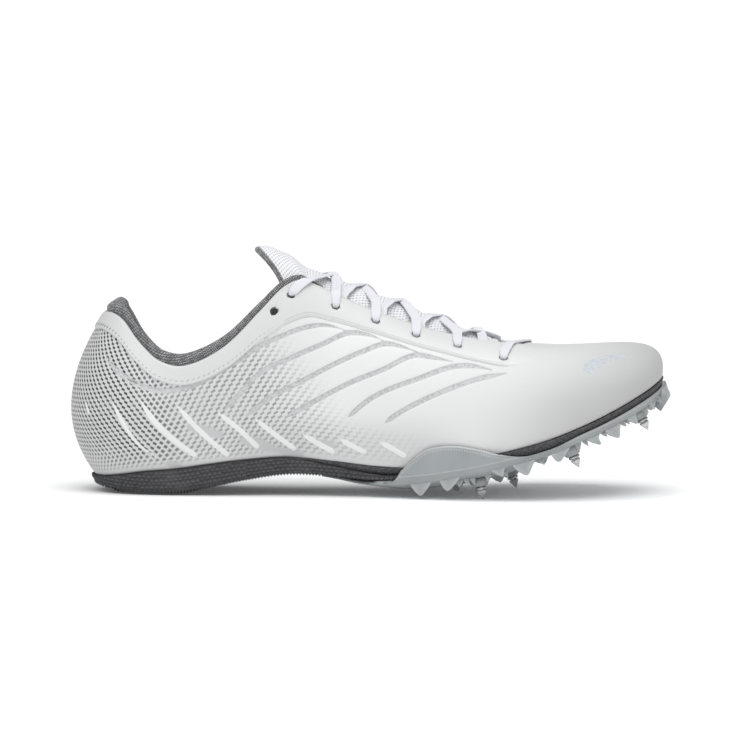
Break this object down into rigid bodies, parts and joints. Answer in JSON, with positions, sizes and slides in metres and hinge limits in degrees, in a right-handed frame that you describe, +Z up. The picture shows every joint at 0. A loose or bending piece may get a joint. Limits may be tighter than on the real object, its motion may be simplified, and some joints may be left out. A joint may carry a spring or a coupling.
{
  "type": "track spike shoe",
  "caption": "Lace-up track spike shoe for the right foot, with a hollow woven upper, a rubber heel and a springy forefoot plate with spike pins.",
  "frame": {"origin": "middle of the flat spot under the heel, on the ground", "axes": "+X from heel to toe, +Y to the inner (medial) side, +Z up"},
  "size_m": [0.2857, 0.0934, 0.1165],
  "materials": {
    "upper_cloth": "white coated mesh with perforations",
    "lining_knit": "dark grey knit",
    "tongue_mesh": "white mesh",
    "insole_cloth": "matte",
    "midsole_foam": "matte moulded foam",
    "heel_rubber": "matte textured",
    "plate_plastic": "frosted, slightly clear",
    "pin_steel": "bright",
    "lace_cloth": "flat ribbed weave"
  },
  "bodies": {
    "root": {"midsole": "midsole_foam", "insole": "insole_cloth", "heel_outsole": "heel_rubber", "spike_plate": "plate_plastic", "upper": "upper_cloth", "collar_lining": "lining_knit", "tongue": "tongue_mesh", "pin_1": "pin_steel", "pin_2": "pin_steel", "pin_3": "pin_steel", "pin_4": "pin_steel", "pin_5": "pin_steel", "pin_6": "pin_steel", "lace_toe_bar": "lace_cloth", "lace_crossing_1": "lace_cloth", "lace_crossing_2": "lace_cloth", "lace_crossing_3": "lace_cloth", "lace_crossing_4": "lace_cloth", "lace_crossing_5": "lace_cloth"}
  },
  "joints": []
}
